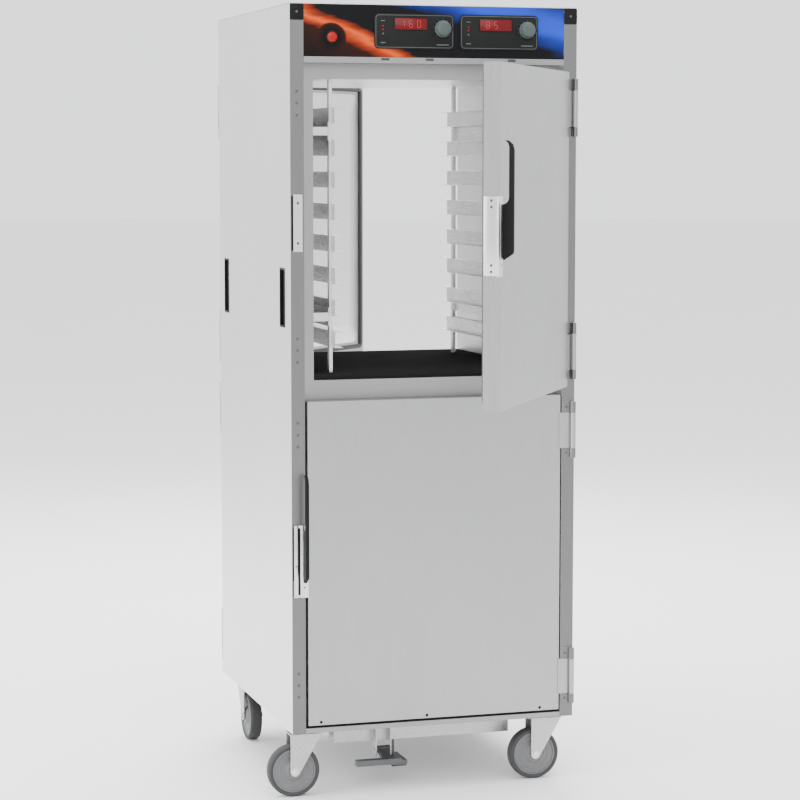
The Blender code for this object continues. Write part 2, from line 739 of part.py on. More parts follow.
def caster_fork(name, swivel):
    """Disc under the raceway, neck, bridge over the wheel, two legs and the axle."""
    fork = rod(name, (0, 0, CROWN[0]), (0, 0, CROWN[1]), CROWN_R, "bright_steel", swivel, 20)
    low, high = (0, 0, BRIDGE[0] + 0.001), (0, 0, CROWN[0] + 0.001)
    weld(fork, rod(f"{name}_neck", low, high, NECK_R, parent=swivel, segments=20))
    side = LEG_OUT + LEG_THICK / 2
    low, high = (FORK_BACK, -side, BRIDGE[0]), (TRAIL + FORK_NOSE, side, BRIDGE[1])
    weld(fork, box(f"{name}_bridge", low, high, parent=swivel))
    for index, across in enumerate((-LEG_OUT, LEG_OUT)):
        outline = fork_leg_outline()
        weld(fork, plate(f"{name}_leg_{index}", outline, LEG_THICK, None, swivel, (0, across, 0), ACROSS_Y))
    near, far = (TRAIL, -AXLE_END, WHEEL_R), (TRAIL, AXLE_END, WHEEL_R)
    weld(fork, rod(f"{name}_axle", near, far, AXLE_R, parent=swivel, segments=12))


def caster_wheel(name, swivel):
    """Tyre, dished web and hub, turned as one."""
    half = WHEEL_WIDTH / 2
    web = half - 0.004
    near = [(HUB_R, HUB_HALF), (0.0200, web), (0.0480, web), (0.0520, half), (0.0600, half)]
    near = [(HUB_BORE_R, HUB_HALF)] + near + [(WHEEL_R, half - 0.006)]
    profile = near + [(radius, -across) for radius, across in reversed(near)]
    turned(name, profile, 24, "tyre_grey", swivel, (TRAIL, 0, WHEEL_R), FACING_FRONT, closed=True)


def lock_channel():
    """Channel under the base with two cheeks that hold the pedal's pin."""
    half_x, half_y = LOCK_HALF
    near, far = FLOOR_LOCK_Y - half_y, FLOOR_LOCK_Y + half_y
    half = SHEET / 2
    top = BASE_Z[0] - EASE - half
    path = [(near + half, LOCK_EDGE), (near + half, top), (far - half, top), (far - half, LOCK_EDGE)]
    channel = sheet("floor_lock_channel", path, "X", (-half_x, half_x), "bright_steel")
    x, y, z = LOCK_PIVOT
    low_z, high_z = CHEEK_Z
    for index, cheek_x in enumerate((x - 0.0200, x + 0.0170)):
        low, high = (cheek_x, y - 0.012, low_z), (cheek_x + 0.003, near + 0.001, high_z)
        weld(channel, box(f"lock_cheek_{index}", low, high))
    pin_half = 0.0230
    weld(channel, rod("lock_pin", (x - pin_half, y, z), (x + pin_half, y, z), 0.004, segments=12))


def lock_pedal():
    """Hub on the pin, its arm and the wide foot bar."""
    mount = make_empty("pedal_pivot", LOCK_PIVOT)
    pedal = rod("floor_lock_pedal", (-0.0160, 0, 0), (0.0160, 0, 0), 0.009, "dark_steel", mount, 16)
    outline = [(0.002, 0.008), (0.002, -0.006), (-0.046, -0.026), (-0.046, -0.014)]
    arm = plate("pedal_arm", outline, 0.024, None, mount, (0, 0, 0), ACROSS_X)
    bar = box("pedal_bar", (-0.0790, -0.0550, -0.0270), (0.0345, -0.0350, -0.0130), parent=mount)
    weld(pedal, arm, bar)
    cut(pedal, rod("pedal_bore", (-0.03, 0, 0), (0.03, 0, 0), 0.0045, parent=mount, segments=12))


def lock_foot():
    """Foot plate on the rod that slides in the channel."""
    foot = box("floor_lock_foot", (-0.0900, -0.3180, 0.0520), (-0.0500, -0.2280, 0.0620), "dark_steel")
    low, high = (-0.0700, FLOOR_LOCK_Y, 0.0610), (-0.0700, FLOOR_LOCK_Y, 0.1720)
    weld(foot, rod("lock_rod", low, high, 0.006, segments=12))


# ---------------------------------------------------------------- assembly

clear_scene()
PARTS = make_collection("food_holding_cabinet")
CUTTERS = make_collection("cutters")
MATERIALS = {key: make_material(key) for key in COLOURS}

base_pan()
top_panel()
insulation()
for level_name, (low_z, high_z) in CAVITIES.items():
    liner(f"{level_name}_liner", low_z, high_z)
    heater_tray(f"{level_name}_heater_tray", low_z)
    heating_element(f"{level_name}_heating_element", low_z)
    pan_rack(f"{level_name}_left_rack", -1, low_z, high_z)
    pan_rack(f"{level_name}_right_rack", 1, low_z, high_z)

for end_name, side_name, half_turn in (("front", "right", 0.0), ("rear", "left", math.pi)):
    body_frame = make_empty(f"{end_name}_half", (0, 0, 0), half_turn)
    side_sheet = side_panel(f"{side_name}_side_panel", body_frame, (-GRIP_Y, GRIP_Y))
    other_end = "rear" if end_name == "front" else "front"
    hand_grip(f"{side_name}_{end_name}_hand_grip", body_frame, -GRIP_Y)
    hand_grip(f"{side_name}_{other_end}_hand_grip", body_frame, GRIP_Y)
    door_frame(f"{end_name}_door_frame", body_frame)
    for level_name in DOORS:
        door(end_name, level_name, body_frame, side_sheet)

control_panel()
power_button()
power_inlet()
for side_name, middle_x in CONTROLLERS.items():
    controller(side_name, middle_x)
    knob(side_name, middle_x)

for end_name, caster_y in CASTER_Y.items():
    caster(end_name, "left", -CASTER_X, caster_y)
    caster(end_name, "right", CASTER_X, caster_y)
lock_channel()
lock_pedal()
lock_foot()
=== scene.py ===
"""Looks of the heated holding cabinet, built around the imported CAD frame."""

import json
import math

import bmesh
import bpy
from mathutils import Matrix, Vector


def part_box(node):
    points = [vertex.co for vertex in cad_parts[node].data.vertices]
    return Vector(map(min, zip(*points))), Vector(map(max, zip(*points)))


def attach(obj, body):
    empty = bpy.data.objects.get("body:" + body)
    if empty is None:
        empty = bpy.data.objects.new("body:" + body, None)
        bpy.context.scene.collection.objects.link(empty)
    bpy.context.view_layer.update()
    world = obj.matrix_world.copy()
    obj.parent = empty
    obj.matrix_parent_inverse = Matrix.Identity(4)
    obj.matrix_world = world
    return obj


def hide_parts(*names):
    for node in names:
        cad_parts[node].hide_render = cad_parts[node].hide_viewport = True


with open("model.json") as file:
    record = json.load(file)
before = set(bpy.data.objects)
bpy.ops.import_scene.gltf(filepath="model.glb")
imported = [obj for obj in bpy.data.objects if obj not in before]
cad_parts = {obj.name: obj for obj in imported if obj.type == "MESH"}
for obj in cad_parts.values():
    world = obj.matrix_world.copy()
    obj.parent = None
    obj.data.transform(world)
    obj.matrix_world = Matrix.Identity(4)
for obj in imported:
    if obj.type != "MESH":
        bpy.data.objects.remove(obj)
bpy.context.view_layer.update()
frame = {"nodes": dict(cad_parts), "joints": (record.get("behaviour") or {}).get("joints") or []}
JOINTS = {joint["name"]: joint for joint in frame["joints"]}
NODES = frame["nodes"]
ENDS = ("front", "rear")
LEVELS = ("upper", "lower")

# Places that the CAD gives.
PANEL_LOW, PANEL_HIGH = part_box("control_panel")
POST_FACE = PANEL_LOW.y               # the cabinet's front plane
HINGE_X, HINGE_Y, _ = JOINTS["front_lower_door_hinge"]["pos_m"]
FREE_EDGE = -0.3160                   # a closed front door's free edge
DOOR_INNER = POST_FACE + 0.038        # a closed door's inner face
CAVITY_HALF = 0.2885

# The latch on a closed front door: across X, and its faces along Y.
LATCH_OUTER, LATCH_INNER = -0.3515, -0.3165
LATCH_FACE, LATCH_BACK = -0.3880, -0.3836
LATCH_HALF = 0.0865
LATCH_OVER_PIVOT = 0.0445
CHANNEL_OUTER, CHANNEL_INNER, CHANNEL_DEPTH = -0.3420, -0.3362, -0.3850
FLANGE_OUTER, FLANGE_FACE, FLANGE_BACK = -0.3200, -0.3874, -0.3450

# Fastenings and marks on the end frames.
PLUG_X, LEAF_X, CAP_X = -0.3400, 0.3340, 0.3390
CAP_MIDDLE = 1.8675
LIP_MIDDLE = 1.7605
LIP_SLOTS = (-0.124, -0.015, 0.190)
LOCK_FACE, LOCK_MIDDLE = -0.275, 0.144
SEAL_MIDDLE = 0.1574


# ---------------------------------------------------------------- materials

def new_material(name):
    material = bpy.data.materials.new(name)
    material.use_nodes = True
    tree = material.node_tree
    return material, tree, tree.nodes["Principled BSDF"]


def noise(tree, stretch, scale, detail=4.0, roughness=0.55):
    """A noise texture in the object's own space, stretched along an axis."""
    coordinates = tree.nodes.new("ShaderNodeTexCoord")
    mapping = tree.nodes.new("ShaderNodeMapping")
    mapping.inputs["Scale"].default_value = stretch
    texture = tree.nodes.new("ShaderNodeTexNoise")
    texture.inputs["Scale"].default_value = scale
    texture.inputs["Detail"].default_value = detail
    texture.inputs["Roughness"].default_value = roughness
    tree.links.new(coordinates.outputs["Object"], mapping.inputs["Vector"])
    tree.links.new(mapping.outputs["Vector"], texture.inputs["Vector"])
    return texture.outputs["Fac"]


def spread(tree, value, low, high, low_out, high_out):
    node = tree.nodes.new("ShaderNodeMapRange")
    node.inputs["From Min"].default_value = low
    node.inputs["From Max"].default_value = high
    node.inputs["To Min"].default_value = low_out
    node.inputs["To Max"].default_value = high_out
    tree.links.new(value, node.inputs["Value"])
    return node.outputs["Result"]


def ramp(tree, value, stops):
    node = tree.nodes.new("ShaderNodeValToRGB")
    elements = node.color_ramp.elements
    while len(elements) < len(stops):
        elements.new(0.5)
    for element, (position, colour) in zip(elements, stops):
        element.position = position
        element.color = (*colour, 1.0)
    tree.links.new(value, node.inputs["Fac"])
    return node.outputs["Color"]


def math_node(tree, operation, first, second):
    node = tree.nodes.new("ShaderNodeMath")
    node.operation = operation
    for socket, value in zip(node.inputs, (first, second)):
        if isinstance(value, (int, float)):
            socket.default_value = value
        else:
            tree.links.new(value, socket)
    return node.outputs["Value"]


def bump(tree, shader, height, strength, distance):
    node = tree.nodes.new("ShaderNodeBump")
    node.inputs["Strength"].default_value = strength
    node.inputs["Distance"].default_value = distance
    tree.links.new(height, node.inputs["Height"])
    tree.links.new(node.outputs["Normal"], shader.inputs["Normal"])


def shade(colour, factor):
    return tuple(min(1.0, channel * factor) for channel in colour)


def brushed(name, colour, roughness, grain=(1.0, 1.0, 0.006), contrast=0.05, metallic=1.0):
    """Brushed sheet: fine grain along one axis, cloudy polish, faint handling marks."""
    material, tree, shader = new_material(name)
    lines = noise(tree, grain, 900.0, 3.0)
    clouds = noise(tree, (1.0, 1.0, 1.0), 3.5, 3.0)
    marks = noise(tree, (1.0, 1.0, 0.35), 22.0, 6.0, 0.7)
    tone = math_node(tree, "ADD", math_node(tree, "MULTIPLY", lines, 0.7),
                     math_node(tree, "MULTIPLY", clouds, 0.3))
    tree.links.new(ramp(tree, tone, [(0.30, shade(colour, 1 - contrast)), (0.50, colour),
                                     (0.70, shade(colour, 1 + contrast))]), shader.inputs["Base Color"])
    polish = math_node(tree, "ADD", spread(tree, lines, 0.3, 0.7, roughness - 0.05, roughness + 0.06),
                       spread(tree, marks, 0.45, 0.75, -0.02, 0.05))
    tree.links.new(polish, shader.inputs["Roughness"])
    shader.inputs["Metallic"].default_value = metallic
    bump(tree, shader, lines, 0.10, 0.00025)
    return material


def cast(name, colour, roughness, metallic, scale=260.0, depth=0.0004, contrast=0.12, shine=0.5):
    """Moulded plastic, rubber or coated metal with a fine pebbled grain and scuffs."""
    material, tree, shader = new_material(name)
    pebbles = noise(tree, (1.0, 1.0, 1.0), scale, 5.0)
    scuffs = noise(tree, (1.0, 1.0, 1.0), 14.0, 7.0, 0.7)
    tree.links.new(ramp(tree, scuffs, [(0.35, shade(colour, 1 - contrast)), (0.55, colour),
                                       (0.75, shade(colour, 1 + 2 * contrast))]), shader.inputs["Base Color"])
    polish = spread(tree, scuffs, 0.3, 0.7, roughness - 0.08, roughness + 0.08)
    tree.links.new(polish, shader.inputs["Roughness"])
    shader.inputs["Metallic"].default_value = metallic
    shader.inputs["Specular IOR Level"].default_value = shine
    bump(tree, shader, pebbles, 0.25, depth)
    return material


def plated(name, colour, roughness):
    """Zinc plate: soft crystalline patches under a fine satin."""
    material, tree, shader = new_material(name)
    coordinates = tree.nodes.new("ShaderNodeTexCoord")
    cells = tree.nodes.new("ShaderNodeTexVoronoi")
    cells.inputs["Scale"].default_value = 160.0
    tree.links.new(coordinates.outputs["Object"], cells.inputs["Vector"])
    grain = noise(tree, (1.0, 1.0, 1.0), 420.0, 3.0)
    patches = spread(tree, cells.outputs["Distance"], 0.0, 0.8, 0.0, 1.0)
    tone = ramp(tree, patches, [(0.0, shade(colour, 0.93)), (0.6, colour), (1.0, shade(colour, 1.08))])
    tree.links.new(tone, shader.inputs["Base Color"])
    polish = spread(tree, grain, 0.3, 0.7, roughness - 0.05, roughness + 0.07)
    tree.links.new(polish, shader.inputs["Roughness"])
    shader.inputs["Metallic"].default_value = 0.9
    bump(tree, shader, grain, 0.12, 0.0003)
    return material


def lit(name, colour, glow, strength):
    """A lit lens: glossy clear colour with a soft uneven glow."""
    material, tree, shader = new_material(name)
    glowing = noise(tree, (1.0, 1.0, 1.0), 60.0, 2.0)
    body = ramp(tree, glowing, [(0.3, shade(colour, 0.85)), (0.7, colour)])
    tree.links.new(body, shader.inputs["Base Color"])
    light = ramp(tree, glowing, [(0.3, shade(glow, 0.8)), (0.7, glow)])
    tree.links.new(light, shader.inputs["Emission Color"])
    tree.links.new(spread(tree, glowing, 0.3, 0.7, 0.12, 0.2), shader.inputs["Roughness"])
    shader.inputs["Emission Strength"].default_value = strength
    shader.inputs["Specular IOR Level"].default_value = 0.2
    bump(tree, shader, glowing, 0.05, 0.0003)
    return material


def fascia(name):
    """Black film: a warm band on the left that leaves the button clear, a cool one on the right."""
    material, tree, shader = new_material(name)
    coordinates = tree.nodes.new("ShaderNodeTexCoord")
    parts = tree.nodes.new("ShaderNodeSeparateXYZ")
    tree.links.new(coordinates.outputs["Object"], parts.inputs["Vector"])
    streaks = noise(tree, (1.0, 1.0, 5.0), 7.0, 4.0)
    across = spread(tree, parts.outputs["X"], PANEL_LOW.x, PANEL_HIGH.x, 0.0, 1.0)
    up = spread(tree, parts.outputs["Z"], PANEL_LOW.z, PANEL_HIGH.z, 0.0, 1.0)
    wobble = spread(tree, streaks, 0.3, 0.7, -0.08, 0.08)
    warm_line = math_node(tree, "ADD", math_node(tree, "MULTIPLY", across, 2.3),
                          math_node(tree, "ADD", up, wobble))
    cool_line = math_node(tree, "ADD", math_node(tree, "MULTIPLY", across, 1.5),
                          math_node(tree, "ADD", up, wobble))
    button_low, button_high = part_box("power_button")
    near = tree.nodes.new("ShaderNodeVectorMath")
    near.operation = "DISTANCE"
    near.inputs[1].default_value = (button_low + button_high) / 2
    tree.links.new(coordinates.outputs["Object"], near.inputs[0])
    clear = spread(tree, near.outputs["Value"], 0.020, 0.036, 0.0, 0.5)
    warm = ramp(tree, math_node(tree, "MULTIPLY", warm_line, clear),
                [(0.0, (0.004, 0.003, 0.003)), (0.30, (0.02, 0.005, 0.003)), (0.38, (0.30, 0.028, 0.006)),
                 (0.43, (0.60, 0.085, 0.015)), (0.48, (0.24, 0.024, 0.004)), (0.53, (0.004, 0.004, 0.005))])
    cool = ramp(tree, math_node(tree, "MULTIPLY", cool_line, 0.4),
                [(0.60, (0.0, 0.0, 0.0)), (0.68, (0.004, 0.016, 0.16)), (0.78, (0.010, 0.045, 0.50)),
                 (0.90, (0.012, 0.040, 0.42)), (1.0, (0.004, 0.012, 0.12))])
    both = tree.nodes.new("ShaderNodeMix")
    both.data_type = "RGBA"
    both.blend_type = "ADD"
    both.inputs["Factor"].default_value = 1.0
    tree.links.new(warm, both.inputs["A"])
    tree.links.new(cool, both.inputs["B"])
    tree.links.new(both.outputs["Result"], shader.inputs["Base Color"])
    fine = noise(tree, (1.0, 1.0, 1.0), 300.0, 4.0)
    tree.links.new(spread(tree, fine, 0.3, 0.7, 0.30, 0.40), shader.inputs["Roughness"])
    shader.inputs["Specular IOR Level"].default_value = 0.10
    bump(tree, shader, fine, 0.05, 0.0002)
    return material


STAINLESS = (0.60, 0.60, 0.595)
MATERIALS = {
    # Side, door, post, frame and liner are one stainless steel. Their base tones differ as painted light and
    # shade: the sides and liners are lightened as if lit, and the doors, door frames and posts are darkened
    # as if shaded.
    "side": brushed("stainless_side", (0.72, 0.72, 0.716), 0.34),
    "door": brushed("stainless_door", (0.36, 0.36, 0.358), 0.32),
    "post": brushed("stainless_post", (0.165, 0.165, 0.164), 0.38),
    "frame": brushed("stainless_frame", (0.28, 0.28, 0.278), 0.38),
    "liner": brushed("stainless_liner", (0.70, 0.70, 0.695), 0.36, (1.0, 0.006, 1.0)),
    "lid": brushed("stainless_lid", STAINLESS, 0.33, (1.0, 0.006, 1.0)),
    "rack": brushed("rack_steel", (0.62, 0.62, 0.617), 0.30, (1.0, 0.01, 1.0)),
    "bright": brushed("latch_chrome", (0.66, 0.66, 0.655), 0.22, (1.0, 1.0, 0.02)),
    "plated": plated("plated_steel", (0.44, 0.44, 0.435), 0.36),
    "coated": cast("dark_coated_steel", (0.10, 0.10, 0.105), 0.48, 0.6),
    # The heater trays are coloured near black as painted shade of the deep cavity.
    "tray": cast("heater_tray_coating", (0.020, 0.020, 0.021), 0.80, 0.0, contrast=0.05, shine=0.0),
    "slot": cast("soft_slot", (0.05, 0.05, 0.051), 0.6, 0.0, shine=0.2),
    # Near black: the colour of dark parts, and painted shade on the tray fronts, beside the strikes and in
    # holes.
    "dark": cast("dark_recess", (0.004, 0.004, 0.0045), 0.6, 0.0, shine=0.15),
    "black": cast("black_plastic_grain", (0.005, 0.005, 0.0055), 0.52, 0.0, shine=0.14),
    "panel": cast("controller_plastic", (0.008, 0.0085, 0.0085), 0.45, 0.0, shine=0.14),
    "outline": cast("panel_outline", (0.085, 0.095, 0.092), 0.45, 0.0, shine=0.15),
    "gasket": cast("gasket_rubber", (0.075, 0.075, 0.077), 0.7, 0.0, 180.0, shine=0.2),
    "tyre": cast("tyre_elastomer", (0.045, 0.045, 0.047), 0.62, 0.0, 200.0, shine=0.25),
    "core": cast("wheel_core", (0.14, 0.14, 0.143), 0.5, 0.0, 200.0, shine=0.3),
    "knob": cast("knob_plastic", (0.050, 0.070, 0.065), 0.48, 0.0, 220.0, shine=0.3),
    "blanket": cast("fibre_blanket", (0.75, 0.68, 0.42), 0.95, 0.0, 90.0, 0.003),
    "lens": lit("red_lens", (0.26, 0.005, 0.004), (1.0, 0.02, 0.015), 0.12),
    "display": lit("display_window", (0.085, 0.002, 0.004), (1.0, 0.02, 0.04), 0.07),
    "digits": lit("display_digits", (0.35, 0.02, 0.02), (1.0, 0.08, 0.07), 0.45),
    "fascia": fascia("control_fascia"),
}


# ---------------------------------------------------------------- building

def rounded_rect(half_x, half_z, radius, steps=5):
    """Corner-rounded outline in the XZ plane, anticlockwise seen from -Y."""
    points = []
    for centre_x, centre_z, start in ((1, 1, 0), (-1, 1, 90), (-1, -1, 180), (1, -1, 270)):
        for step in range(steps + 1):
            angle = math.radians(start + 90 * step / steps)
            points.append((centre_x * (half_x - radius) + radius * math.cos(angle),
                           centre_z * (half_z - radius) + radius * math.sin(angle)))
    return points


def loft(rings, loop=False):
    """A skin through rings of equally many points; capped, or closed on itself."""
    shape = bmesh.new()
    rows = [[shape.verts.new(point) for point in ring] for ring in rings]
    pairs = list(zip(rows, rows[1:]))
    if loop:
        pairs.append((rows[-1], rows[0]))
    for first, second in pairs:
        for index in range(len(first)):
            following = (index + 1) % len(first)
            shape.faces.new((first[index], first[following], second[following], second[index]))
    if not loop:
        shape.faces.new(rows[0])
        shape.faces.new(list(reversed(rows[-1])))
    bmesh.ops.recalc_face_normals(shape, faces=shape.faces)
    return shape


def slab(half_x, half_z, radius, front, back, edge=0.0006, steps=5):
    """A rounded plate standing in XZ between two depths, with eased edges."""
    levels = [(edge, back), (edge * 0.3, back - edge * 0.3), (0.0, back - edge), (0.0, front + edge),
              (edge * 0.3, front + edge * 0.3), (edge, front)]
    rings = []
    for inset, depth in levels:
        outline = rounded_rect(half_x - inset, half_z - inset, max(radius - inset, 0.0003), steps)
        rings.append([(x, depth, z) for x, z in outline])
    return loft(rings)


def band(half_x, half_z, radius, profile, steps=5):
    """A closed frame swept round a rounded rectangle; profile is (outwards, depth)."""
    rings = []
    for outwards, depth in profile:
        outline = rounded_rect(half_x + outwards, half_z + outwards, max(radius + outwards, 0.0005), steps)
        rings.append([(x, depth, z) for x, z in outline])
    return loft(rings, loop=True)


def lathe(profile, steps=32):
    """(radius, height) points spun about Z; the first and last may lie on the axis."""
    shape = bmesh.new()
    rows = []
    for radius, height in profile:
        if radius < 1e-7:
            rows.append([shape.verts.new((0, 0, height))])
            continue
        row = []
        for step in range(steps):
            angle = 2 * math.pi * step / steps
            row.append(shape.verts.new((radius * math.cos(angle), radius * math.sin(angle), height)))
        rows.append(row)
    for first, second in zip(rows, rows[1:]):
        for step in range(steps):
            following = (step + 1) % steps
            corners = [first[step % len(first)], first[following % len(first)],
                       second[following % len(second)], second[step % len(second)]]
            unique = list(dict.fromkeys(corners))
            if len(unique) > 2:
                shape.faces.new(unique)
    bmesh.ops.recalc_face_normals(shape, faces=shape.faces)
    return shape


def ring_lathe(profile, steps=48):
    """A closed (radius, height) loop spun about Z."""
    rings = []
    for radius, height in profile:
        rings.append([(radius * math.cos(2 * math.pi * step / steps),
                       radius * math.sin(2 * math.pi * step / steps), height) for step in range(steps)])
    return loft(rings, loop=True)


def block(low, high, edge=0.0008, segments=2):
    """A box with eased edges."""
    low, high = Vector(low), Vector(high)
    shape = bmesh.new()
    bmesh.ops.create_cube(shape, size=1.0)
    bmesh.ops.scale(shape, vec=high - low, verts=shape.verts)
    bmesh.ops.translate(shape, vec=(low + high) / 2, verts=shape.verts)
    bmesh.ops.bevel(shape, geom=list(shape.edges), offset=edge, segments=segments, affect="EDGES",
                    profile=0.5)
    return shape


def prism(outline, axis, low, high, edge=0.0):
    """An outline drawn out along an axis, with its edges eased."""
    along = "XYZ".index(axis)
    shape = bmesh.new()
    verts = []
    for point in outline:
        spot = list(point)
        spot.insert(along, low)
        verts.append(shape.verts.new(spot))
    face = shape.faces.new(verts)
    drawn = bmesh.ops.extrude_face_region(shape, geom=[face])
    moved = [item for item in drawn["geom"] if isinstance(item, bmesh.types.BMVert)]
    step = Vector((0, 0, 0))
    step[along] = high - low
    bmesh.ops.translate(shape, vec=step, verts=moved)
    bmesh.ops.recalc_face_normals(shape, faces=shape.faces)
    if edge:
        bmesh.ops.bevel(shape, geom=list(shape.edges), offset=edge, segments=2, affect="EDGES", profile=0.5)
    return shape


def facing(point, direction):
    """Places a shape's +Z along a direction, at a point."""
    turn = Vector(direction).to_track_quat("Z", "Y").to_matrix().to_4x4()
    return Matrix.Translation(point) @ turn


def piece(name, shapes, material, body, at=None, smooth=35.0):
    """One object from (shape, placing) pairs, riding on a body."""
    whole = bmesh.new()
    for shape, placing in shapes:
        part = bpy.data.meshes.new("part")
        shape.to_mesh(part)
        shape.free()
        part.transform(placing)
        whole.from_mesh(part)
        bpy.data.meshes.remove(part)
    mesh = bpy.data.meshes.new(name)
    whole.to_mesh(mesh)
    whole.free()
    if at is not None:
        mesh.transform(at)
    for polygon in mesh.polygons:
        polygon.use_smooth = True
    mesh.set_sharp_from_angle(angle=math.radians(smooth))
    mesh.materials.append(MATERIALS[material])
    item = bpy.data.objects.new(name, mesh)
    bpy.context.scene.collection.objects.link(item)
    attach(item, body)
    return item


HERE = Matrix.Identity(4)
HALF_TURN = Matrix.Rotation(math.pi, 4, "Z")


def end_matrix(end):
    return HALF_TURN if end == "rear" else HERE


def door_matrix(end, level):
    """From a closed front door's coordinates to where the door stands at rest."""
    opened = math.radians(-JOINTS[f"{end}_{level}_door_hinge"]["range_deg"][0])
    axis = Matrix.Translation((HINGE_X, HINGE_Y, 0))
    return end_matrix(end) @ axis @ Matrix.Rotation(opened, 4, "Z") @ axis.inverted()


def screw(radius, height=None):
    """A low button head with a driver recess."""
    height = height or radius * 0.45
    return lathe([(0, height * 0.25), (radius * 0.30, height * 0.25), (radius * 0.36, height),
                  (radius * 0.62, height), (radius * 0.88, height * 0.66), (radius, height * 0.2),
                  (radius, 0), (0, 0)], 20)


# ---------------------------------------------------------------- CAD nodes that stay

def dress(node, material, edge=0.0004, smooth=30.0):
    """Gives a CAD node its finish, joins its split edges and eases them."""
    item = NODES[node]
    item.data.materials.clear()
    item.data.materials.append(MATERIALS[material])
    for polygon in item.data.polygons:
        polygon.use_smooth = True
    weld = item.modifiers.new("join", "WELD")
    weld.merge_threshold = 0.00001
    bevel = item.modifiers.new("edges", "BEVEL")
    bevel.width = edge
    bevel.segments = 2
    bevel.limit_method = "ANGLE"
    bevel.angle_limit = math.radians(smooth)
    even = item.modifiers.new("shading", "WEIGHTED_NORMAL")
    even.keep_sharp = True


FINISHES = {
    "base_pan": "frame", "top_panel": "lid", "insulation": "blanket", "front_door_frame": "frame",
    "rear_door_frame": "frame", "left_side_panel": "side", "right_side_panel": "side", "upper_liner": "liner",
    "lower_liner": "liner", "control_panel": "fascia", "power_inlet": "black", "floor_lock_channel": "plated",
    "floor_lock_pedal": "coated", "floor_lock_foot": "coated", "power_button": "lens",
}
for level in LEVELS:
    FINISHES[f"{level}_heater_tray"] = "tray"
    FINISHES[f"{level}_heating_element"] = "coated"
    for side in ("left", "right"):
        FINISHES[f"{level}_{side}_rack"] = "rack"
    for end in ENDS:
        FINISHES[f"{end}_{level}_door"] = "door"
        FINISHES[f"{end}_{level}_handle"] = "black"
        FINISHES[f"{end}_{level}_strike"] = "bright"
for end in ENDS:
    for side in ("left", "right"):
        FINISHES[f"{side}_{end}_hand_grip"] = "black"
        FINISHES[f"{end}_{side}_caster_fork"] = "plated"
for node, finish in FINISHES.items():
    dress(node, finish)
for end in ENDS:
    for level in LEVELS:
        NODES[f"{end}_{level}_handle"].modifiers["edges"].width = 0.0012
        NODES[f"{end}_{level}_door"].modifiers["edges"].width = 0.0010


def paint_shade_on_end_faces(node, material):
    """Faces that look forwards or backwards get a second, darker material as painted shade."""
    mesh = NODES[node].data
    mesh.materials.append(MATERIALS[material])
    for polygon in mesh.polygons:
        if abs(polygon.normal.y) > 0.7:
            polygon.material_index = 1


# The heater trays' front faces are coloured almost black as painted shade of the vent slots and the gap under
# each tray.
for level in LEVELS:
    paint_shade_on_end_faces(f"{level}_heater_tray", "dark")
# The side panels' forward and backward faces, the posts among them, take a darker copy of the stainless steel
# as painted shade.
for side in ("left", "right"):
    paint_shade_on_end_faces(f"{side}_side_panel", "post")


# ---------------------------------------------------------------- doors

GASKET_PROFILE = [(0.0000, 0.0002), (0.0120, 0.0002), (0.0120, 0.0022), (0.0108, 0.0034), (0.0112, 0.0048),
                  (0.0100, 0.0060), (0.0075, 0.0065), (0.0050, 0.0065), (0.0022, 0.0058), (0.0010, 0.0044),
                  (0.0014, 0.0030), (0.0000, 0.0020)]


def gasket(end, level):
    """Bulb gasket on its flange, round the door's inner face."""
    low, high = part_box(f"{level}_liner")
    half_z = (high.z - low.z) / 2 + 0.0015
    profile = [(out, DOOR_INNER + depth) for out, depth in GASKET_PROFILE]
    ring = band(CAVITY_HALF + 0.003, half_z, 0.004, profile, 3)
    middle = Matrix.Translation((0, 0, (low.z + high.z) / 2))
    made = piece(f"{end}_{level}_gasket_bulb", [(ring, middle)], "gasket", f"{end}_{level}_door",
                 door_matrix(end, level), 50.0)
    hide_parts(f"{end}_{level}_gasket")


def inner_pan(end, level):
    """Pressed panel inside the gasket, with its raised field."""
    low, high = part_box(f"{level}_liner")
    half_x, half_z = CAVITY_HALF - 0.004, (high.z - low.z) / 2 - 0.006
    back = DOOR_INNER + 0.0001
    rings = []
    for inset, depth in ((0.0, 0.0), (0.0, 0.0006), (0.0010, 0.0012), (0.040, 0.0012), (0.046, 0.0034),
                         (0.048, 0.0038)):
        outline = rounded_rect(half_x - inset, half_z - inset, max(0.030 - inset * 0.3, 0.004), 6)
        rings.append([(x, back + depth, z) for x, z in outline])
    middle = Matrix.Translation((0, 0, (low.z + high.z) / 2))
    piece(f"{end}_{level}_inner_pan", [(loft(rings), middle)], "liner", f"{end}_{level}_door",
          door_matrix(end, level))


def latch_middle(end, level):
    joint = JOINTS[f"{end}_{level}_handle_pull"]
    return joint["pos_m"][2] + LATCH_OVER_PIVOT


